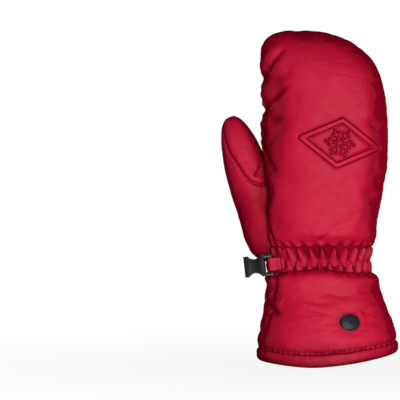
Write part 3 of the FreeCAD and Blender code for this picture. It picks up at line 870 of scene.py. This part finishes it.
def stitch_run(name, path, outwards, material):
    """Thread along a path of points: short rounded stitches, half sunk into the leather."""
    steps = np.linalg.norm(np.diff(path, axis=0), axis=1)
    reach = np.concatenate([[0], np.cumsum(steps)])

    def value_at(values, distance):
        return np.array([np.interp(distance, reach, values[:, k]) for k in range(3)])

    places, faces = [], []
    rings, sides = 7, 8
    start = STITCH_GAP
    while start + STITCH < reach[-1]:
        for i in range(rings):
            share = i / (rings - 1)
            at = start + STITCH * share
            centre, out = value_at(path, at), value_at(outwards, at)
            along = value_at(path, at + 0.2) - value_at(path, at - 0.2)
            along /= max(np.linalg.norm(along), 1e-9)
            across = np.cross(along, out)
            across /= max(np.linalg.norm(across), 1e-9)
            thick = THREAD_RADIUS * max(0.15, math.sin(math.pi * (0.08 + 0.84 * share))) ** 0.5
            lift = THREAD_RADIUS * (math.sin(math.pi * share) * 1.3 - 0.9) - THREAD_SINK
            for j in range(sides):
                turn = FULL_TURN * j / sides
                up, aside = lift + thick * math.sin(turn), thick * math.cos(turn)
                places.append(centre + out * up + across * aside)
        first = len(places) - rings * sides
        faces.extend(tuple(first + v for v in face) for face in strip_faces(rings, sides))
        faces.append(tuple(first + j for j in range(sides - 1, -1, -1)))
        faces.append(tuple(first + (rings - 1) * sides + j for j in range(sides)))
        start += STITCH + STITCH_GAP
    return new_object(name, places, faces, material)


def skin_path(obj, points, ways):
    """Where rays from outside, against the given ways, meet an object's mesh, with the skin's normals."""
    places = [Vector(p) for p in read(obj.data)]
    tree = BVHTree.FromPolygons(places, [tuple(f.vertices) for f in obj.data.polygons])
    hits, outs = [], []
    for point, way in zip(points, ways):
        way = Vector(way).normalized()
        found, normal, _, _ = tree.ray_cast(Vector(point) + way * 60, -way)
        if found:
            hits.append(np.array(found))
            outs.append(np.array(normal))
    return np.array(hits), np.array(outs)


def build_hem_stitches(gauntlet, thread):
    """The row of stitches in the gauntlet just above the hem, which rises at the sides as the hem does."""
    turns = np.linspace(0, FULL_TURN, 721)
    ways = np.column_stack([np.cos(turns), 0.74 * np.sin(turns), np.zeros(len(turns))])
    points = np.zeros((len(turns), 3))
    points[:, 0] = CUFF_HIGH[0] * np.cos(turns)
    points[:, 2] = HEM_HIGH[2] + 1.6
    points[:, 2] += hem_lift(points)
    points[:, 0] = 0
    path, outs = skin_path(gauntlet, points, ways)
    obj = stitch_run("hem_stitches", path, outs, thread)
    stands_for(obj, "red_thread")
    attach(obj, "cuff")


def build_label(cloth):
    """A blank woven size label, sewn by its top edge inside the palm side of the gauntlet."""
    low, high = box_mm("size_label")
    outline = Outline(["size_label"], (low[0] + high[0]) / 2)
    columns, rows = 24, 30
    front, back = [], []
    for i in range(rows + 1):
        for j in range(columns + 1):
            x = low[0] + 0.3 + (high[0] - low[0] - 0.6) * j / columns
            z = low[2] + 0.3 + (high[2] - low[2] - 0.6) * i / rows
            found = outline.tree.ray_cast(Vector((x, 0, z)), Vector((0, 1, 0)))[0]
            y = found[1] if found else high[1] - 1
            free = 1 - i / rows
            y -= 1.2 * free ** 2 + 0.5 * free * math.sin(x * 0.5)
            front.append((x, y, z))
            back.append((x, y + 0.45, z))
    count = len(front)
    faces = []
    for i in range(rows):
        for j in range(columns):
            a = i * (columns + 1) + j
            b, c, d = a + 1, a + columns + 2, a + columns + 1
            faces.append((a, b, c, d))
            faces.append((count + d, count + c, count + b, count + a))
    edge = list(range(columns + 1))
    edge += [i * (columns + 1) + columns for i in range(1, rows + 1)]
    edge += [rows * (columns + 1) + j for j in range(columns - 1, -1, -1)]
    edge += [i * (columns + 1) for i in range(rows - 1, 0, -1)]
    for a, b in zip(edge, edge[1:] + edge[:1]):
        faces.append((b, a, count + a, count + b))
    obj = new_object("label_cloth", front + back, faces, cloth)
    stands_for(obj, "label_cloth", "size_label")
    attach(obj, "cuff")


def build_tab(leather):
    """The clip's tab as folded soft leather: rounded edges, and a swell between its sides and stitches."""
    stitches = sum(box_mm("tab_stitches")) / 2
    for node, name, body in (("buckle_tab", "tab_loop", "tab"), ("tab_anchor", "tab_root", "cuff")):
        obj = closed_shell(name, [node], 0.42, closing=0.12)
        p, n = read(obj.data), normals(obj.data)
        low, high = box_mm(node)
        across = (p[:, 2] - (low[2] + high[2]) / 2) / (high[2] - low[2]) * 2
        puff = 0.4 * (1 - across ** 2) * smooth(np.abs(p[:, 0] - stitches[0]) / 1.8)
        write(obj.data, p + n * (puff - 0.12 + 0.12 * NOISE(p, 2.6))[:, None])
        obj.data.materials.append(leather)
        stands_for(obj, "red_leather", node)
        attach(obj, body)


def finish_cad(node, material, bevel=0.0):
    """Keeps a CAD part in view with a better material and, if asked, rounded edges."""
    obj = frame["nodes"][node]
    obj.data.materials.clear()
    obj.data.materials.append(material)
    for face in obj.data.polygons:
        face.material_index = 0
    modify(obj, "WELD", merge_threshold=0.005 * MM)
    if bevel:
        modify(obj, "BEVEL", width=bevel * MM, segments=3, limit_method="ANGLE",
               angle_limit=math.radians(30), harden_normals=True)
    shade_smooth(obj)


# ------------------------------ materials
class Nodes:
    """A few helpers that keep a node tree readable. Inputs are given as {name or number: value}."""

    def __init__(self, tree):
        self.tree = tree

    def feed(self, node, values):
        """Sets a node's inputs to numbers, vectors or colours, or links other nodes' outputs to them."""
        for name, value in values.items():
            socket = node.inputs[name]
            if isinstance(value, bpy.types.NodeSocket):
                self.tree.links.new(value, socket)
            elif socket.type == "RGBA":
                socket.default_value = (*value, 1)
            else:
                socket.default_value = value
        return node

    def node(self, kind, values=None, **settings):
        return self.feed(assign(self.tree.nodes.new(kind), **settings), values or {})

    def for_camera(self, share, plain, seen, end):
        """Ends the tree in one shader for light that bounces and another for what the camera sees."""
        mix = self.node("ShaderNodeMixShader", {"Fac": share, 1: plain, 2: seen})
        self.feed(self.tree.nodes[end], {"Surface": mix.outputs["Shader"]})

    def camera_ray(self):
        return self.node("ShaderNodeLightPath").outputs["Is Camera Ray"]


class Paint(Nodes):
    """A material's nodes, with textures laid out in the object's own space."""

    def __init__(self, name):
        self.material = bpy.data.materials.new(name)
        self.material.use_nodes = True
        super().__init__(self.material.node_tree)
        self.shader = self.tree.nodes["Principled BSDF"]
        self.place = self.node("ShaderNodeTexCoord").outputs["Object"]

    def noise(self, scale, detail=3.0, stretch=None):
        place = self.place
        if stretch:
            place = self.node("ShaderNodeMapping", {"Scale": stretch, "Vector": place}).outputs["Vector"]
        values = {"Scale": scale, "Detail": detail, "Vector": place}
        return self.node("ShaderNodeTexNoise", values).outputs["Fac"]

    def cells(self, scale):
        values = {"Scale": scale, "Vector": self.place}
        return self.node("ShaderNodeTexVoronoi", values).outputs["Distance"]

    def bands(self, scale, direction):
        values = {"Scale": scale, "Vector": self.place}
        wave = self.node("ShaderNodeTexWave", values, wave_type="BANDS", bands_direction=direction)
        return wave.outputs["Fac"]

    def ramp(self, value, low, high, out_low=0.0, out_high=1.0):
        values = {"Value": value, "From Min": low, "From Max": high, "To Min": out_low, "To Max": out_high}
        return self.node("ShaderNodeMapRange", values).outputs["Result"]

    def blend(self, share, first, second):
        values = {"Factor": share, "A": first, "B": second}
        return self.node("ShaderNodeMix", values, data_type="RGBA").outputs["Result"]

    def bump(self, height, distance, strength=1.0, under=None):
        values = {"Height": height, "Distance": distance, "Strength": strength}
        if under:
            values["Normal"] = under
        return self.node("ShaderNodeBump", values).outputs["Normal"]

    def times(self, first, second):
        return self.node("ShaderNodeMath", {0: first, 1: second}, operation="MULTIPLY").outputs["Value"]

    def attribute(self, name):
        return self.node("ShaderNodeAttribute", attribute_name=name).outputs["Fac"]

    def openness(self, reach):
        """1 in the open, less where other surfaces stand within reach (metres)."""
        return self.node("ShaderNodeAmbientOcclusion", {"Distance": reach}, samples=6).outputs["AO"]

    def finished(self, looks):
        self.feed(self.shader, looks)
        return self.material


RED = (0.42, 0.0012, 0.024)
RED_LIGHT = (0.47, 0.0022, 0.029)
# Darker red used only for painted shade: in folds, in crevices and towards the rim.
RED_PAINTED_SHADE = (0.09, 0.0004, 0.003)


def leather_paint():
    """Soft dyed leather: fine grain, stretch marks, a waxed sheen, and painted shade: a darker red in folds,
    in crevices and towards the rim.
    """
    paint = Paint("red_leather_look")
    patches = paint.ramp(paint.noise(28, 3), 0.38, 0.66)
    colour = paint.blend(patches, RED, RED_LIGHT)
    rim = paint.node("ShaderNodeLayerWeight", {"Blend": 0.42}).outputs["Facing"]
    # Painted shade: the colour turns darker towards the rim, where the surface turns away from the view.
    colour = paint.blend(paint.ramp(rim, 0.03, 0.42, 0.0, 0.62), colour, RED_PAINTED_SHADE)
    # Painted shade stored on the meshes: it darkens the colour in folds and dims the specular there.
    depth = paint.attribute("painted_shade")
    colour = paint.blend(paint.ramp(depth, 0.1, 0.9, 0.0, 0.7), colour, RED_PAINTED_SHADE)
    # Painted shade: darker colour where other surfaces stand close, in creases and between parts.
    colour = paint.blend(paint.ramp(paint.openness(0.03), 0.45, 0.92, 0.75, 0.0), colour, RED_PAINTED_SHADE)
    shine = paint.ramp(rim, 0.05, 0.38, 0.15, 0.0)
    wrinkles = paint.bump(paint.noise(90, 4, (1, 1, 3.2)), 0.0010, 0.35)
    grain = paint.bump(paint.cells(1500), 0.00018, 0.45, wrinkles)
    return paint.finished({
        "Base Color": colour,
        "Roughness": paint.ramp(paint.noise(160, 4), 0.3, 0.7, 0.50, 0.62),
        "Specular IOR Level": paint.times(shine, paint.ramp(depth, 0.1, 0.7, 1.0, 0.1)),
        "Normal": paint.bump(paint.noise(2600, 2), 0.00008, 0.5, grain),
    })


def fleece_paint():
    """Brushed dark pile."""
    paint = Paint("fleece_look")
    tips = paint.ramp(paint.noise(700, 4), 0.35, 0.7)
    return paint.finished({
        "Base Color": paint.blend(tips, (0.012, 0.012, 0.014), (0.04, 0.04, 0.045)),
        "Roughness": 0.95,
        "Sheen Weight": 0.6,
        "Sheen Roughness": 0.6,
        "Normal": paint.bump(paint.noise(900, 5), 0.0016, 0.9),
    })


def plastic_paint():
    """Moulded black plastic with a faint satin texture and scuffed, lighter patches."""
    paint = Paint("black_plastic_look")
    wear = paint.ramp(paint.noise(400, 5), 0.55, 0.8)
    return paint.finished({
        "Base Color": paint.blend(wear, (0.004, 0.004, 0.006), (0.012, 0.013, 0.016)),
        "Roughness": paint.ramp(paint.noise(900, 3), 0.3, 0.7, 0.34, 0.46),
        "Specular IOR Level": 0.3,
        "Normal": paint.bump(paint.noise(3500, 2), 0.00005, 0.4),
    })


def enamel_paint():
    """Black enamel on a metal cap, with a dust of fine scratches."""
    paint = Paint("black_enamel_look")
    wear = paint.ramp(paint.noise(300, 4), 0.5, 0.8)
    return paint.finished({
        "Base Color": paint.blend(wear, (0.006, 0.006, 0.008), (0.02, 0.021, 0.024)),
        "Roughness": paint.ramp(paint.noise(1200, 4, (1, 1, 6)), 0.3, 0.7, 0.38, 0.5),
        "Specular IOR Level": 0.12,
        "Normal": paint.bump(paint.noise(1800, 2), 0.00003, 0.3),
    })


def steel_paint():
    """Dark brushed steel."""
    paint = Paint("dark_steel_look")
    return paint.finished({
        "Base Color": paint.blend(paint.noise(600, 3), (0.12, 0.12, 0.13), (0.22, 0.22, 0.23)),
        "Metallic": 1.0,
        "Roughness": paint.ramp(paint.noise(1500, 2, (1, 1, 8)), 0.3, 0.7, 0.3, 0.5),
        "Normal": paint.bump(paint.noise(2500, 2, (1, 1, 8)), 0.00003, 0.4),
    })


def thread_paint():
    """Twisted sewing thread, dyed a little deeper than the leather."""
    paint = Paint("red_thread_look")
    twist = paint.bands(900, "DIAGONAL")
    return paint.finished({
        "Base Color": paint.blend(twist, (0.20, 0.004, 0.014), (0.42, 0.012, 0.034)),
        "Roughness": 0.7,
        "Normal": paint.bump(twist, 0.0001, 0.6),
    })


def label_paint():
    """Satin-woven white tape."""
    paint = Paint("label_look")
    weave = paint.bands(700, "Z")
    return paint.finished({
        "Base Color": paint.blend(weave, (0.62, 0.62, 0.60), (0.78, 0.78, 0.75)),
        "Roughness": 0.6,
        "Normal": paint.bump(weave, 0.0001, 0.5),
    })


# ------------------------------ stage
def floor_paint():
    """Pale and matte. The camera sees it as even white, with a faint shadow left close to the mitten."""
    paint = Paint("floor_look")
    material = paint.finished({"Base Color": (0.8, 0.8, 0.8), "Roughness": 0.95, "Specular IOR Level": 0.0})
    glow = paint.node("ShaderNodeEmission", {"Strength": 1.0})
    distance = paint.node("ShaderNodeVectorMath", {0: paint.place}, operation="LENGTH")
    away = paint.ramp(distance.outputs["Value"], 0.08, 0.5, 0.88, 1.0)
    share = paint.times(away, paint.camera_ray())
    paint.for_camera(share, paint.shader.outputs["BSDF"], glow.outputs["Emission"], "Material Output")
    return material


FLOOR_REACH = 60000.0       # mm from the mitten to the floor's edges


def build_floor():
    far = FLOOR_REACH
    corners = [(-far, -far, 0), (far, -far, 0), (far, far, 0), (-far, far, 0)]
    floor = new_object("floor", corners, [(0, 1, 2, 3)], floor_paint())
    floor.location.z = -0.2 * MM


LIGHT_SIZE = 0.8
# Each light: (name, place in metres, what it aims at, size, power in watts, spread in degrees).
LIGHTS = (
    ("key", (0.35, -1.6, 0.12), (0.01, 0, 0.02), 0.5, 2.3, 45),
    ("fill", (0.1, -1.9, 0.35), (0, 0, 0.15), LIGHT_SIZE, 3.9, 180),
    ("behind", (0.2, 1.9, 0.5), (0, 0, 0.15), LIGHT_SIZE, 20, 180),
    ("finger_side", (1.8, 0.8, 0.4), (0, 0, 0.15), LIGHT_SIZE, 7, 180),
    ("thumb_side", (-1.8, 0.8, 0.4), (0, 0, 0.15), LIGHT_SIZE, 7, 180),
)


def build_light(name, place, aim, size, power, spread):
    data = bpy.data.lights.new(name, "AREA")
    assign(data, spread=math.radians(spread), shape="DISK", size=size, energy=power)
    turn = (Vector(aim) - Vector(place)).to_track_quat("-Z", "Y")
    assign(in_scene(name, data), visible_camera=False, location=place, rotation_mode="QUATERNION",
           rotation_quaternion=turn)


def build_world():
    """White for the camera, dimmer for the light it sheds, so the mitten's rim stays deep in colour."""
    world = bpy.data.worlds.new("studio")
    world.use_nodes = True
    bpy.context.scene.world = world
    sky = Nodes(world.node_tree)
    white = {"Color": (1, 1, 1)}
    plain = sky.feed(sky.tree.nodes["Background"], white | {"Strength": 0.15})
    seen = sky.node("ShaderNodeBackground", white | {"Strength": 1.0})
    sky.for_camera(sky.camera_ray(), plain.outputs["Background"], seen.outputs["Background"], "World Output")


SEEN_WIDTH = 346.4          # mm across the picture, in the plane of the mitten's middle
CAMERA_AIM = np.array([-110.4, 0, 142.6])      # left of the mitten, half way up it
CAMERA_LIFT = math.radians(1.2)
CAMERA_AWAY = 2600.0


def build_camera():
    """A long lens, nearly level with the back of the hand, that leaves room on the thumb side."""
    data = bpy.data.cameras.new("camera")
    assign(data, lens=CAMERA_AWAY / SEEN_WIDTH * data.sensor_width, clip_end=100)
    back = np.array([0, -math.cos(CAMERA_LIFT), math.sin(CAMERA_LIFT)])
    place = Vector((CAMERA_AIM + back * CAMERA_AWAY) * MM)
    turn = Vector(-back).to_track_quat("-Z", "Y")
    bpy.context.scene.camera = assign(in_scene("camera", data), location=place, rotation_mode="QUATERNION",
                                      rotation_quaternion=turn)


def build_stage():
    build_floor()
    for light in LIGHTS:
        build_light(*light)
    build_world()
    build_camera()
    bpy.context.scene.view_settings.view_transform = "Standard"


# ------------------------------ the mitten
def main():
    leather, fleece = leather_paint(), fleece_paint()
    plastic, thread = plastic_paint(), thread_paint()
    build_hand(leather, fleece)
    build_thumb(leather, fleece)
    gauntlet = build_gauntlet(leather, fleece)
    build_hem_stitches(gauntlet, thread)
    build_shirring(leather, fleece)
    build_hem(leather)
    build_label(label_paint())
    finish_cad("badge_plate", enamel_paint())
    steel = steel_paint()
    finish_cad("badge_posts", steel)
    finish_cad("badge_washers", steel)
    build_tab(leather)
    finish_cad("tab_stitches", thread)
    finish_cad("buckle_socket", plastic, 0.45)
    build_stage()


main()
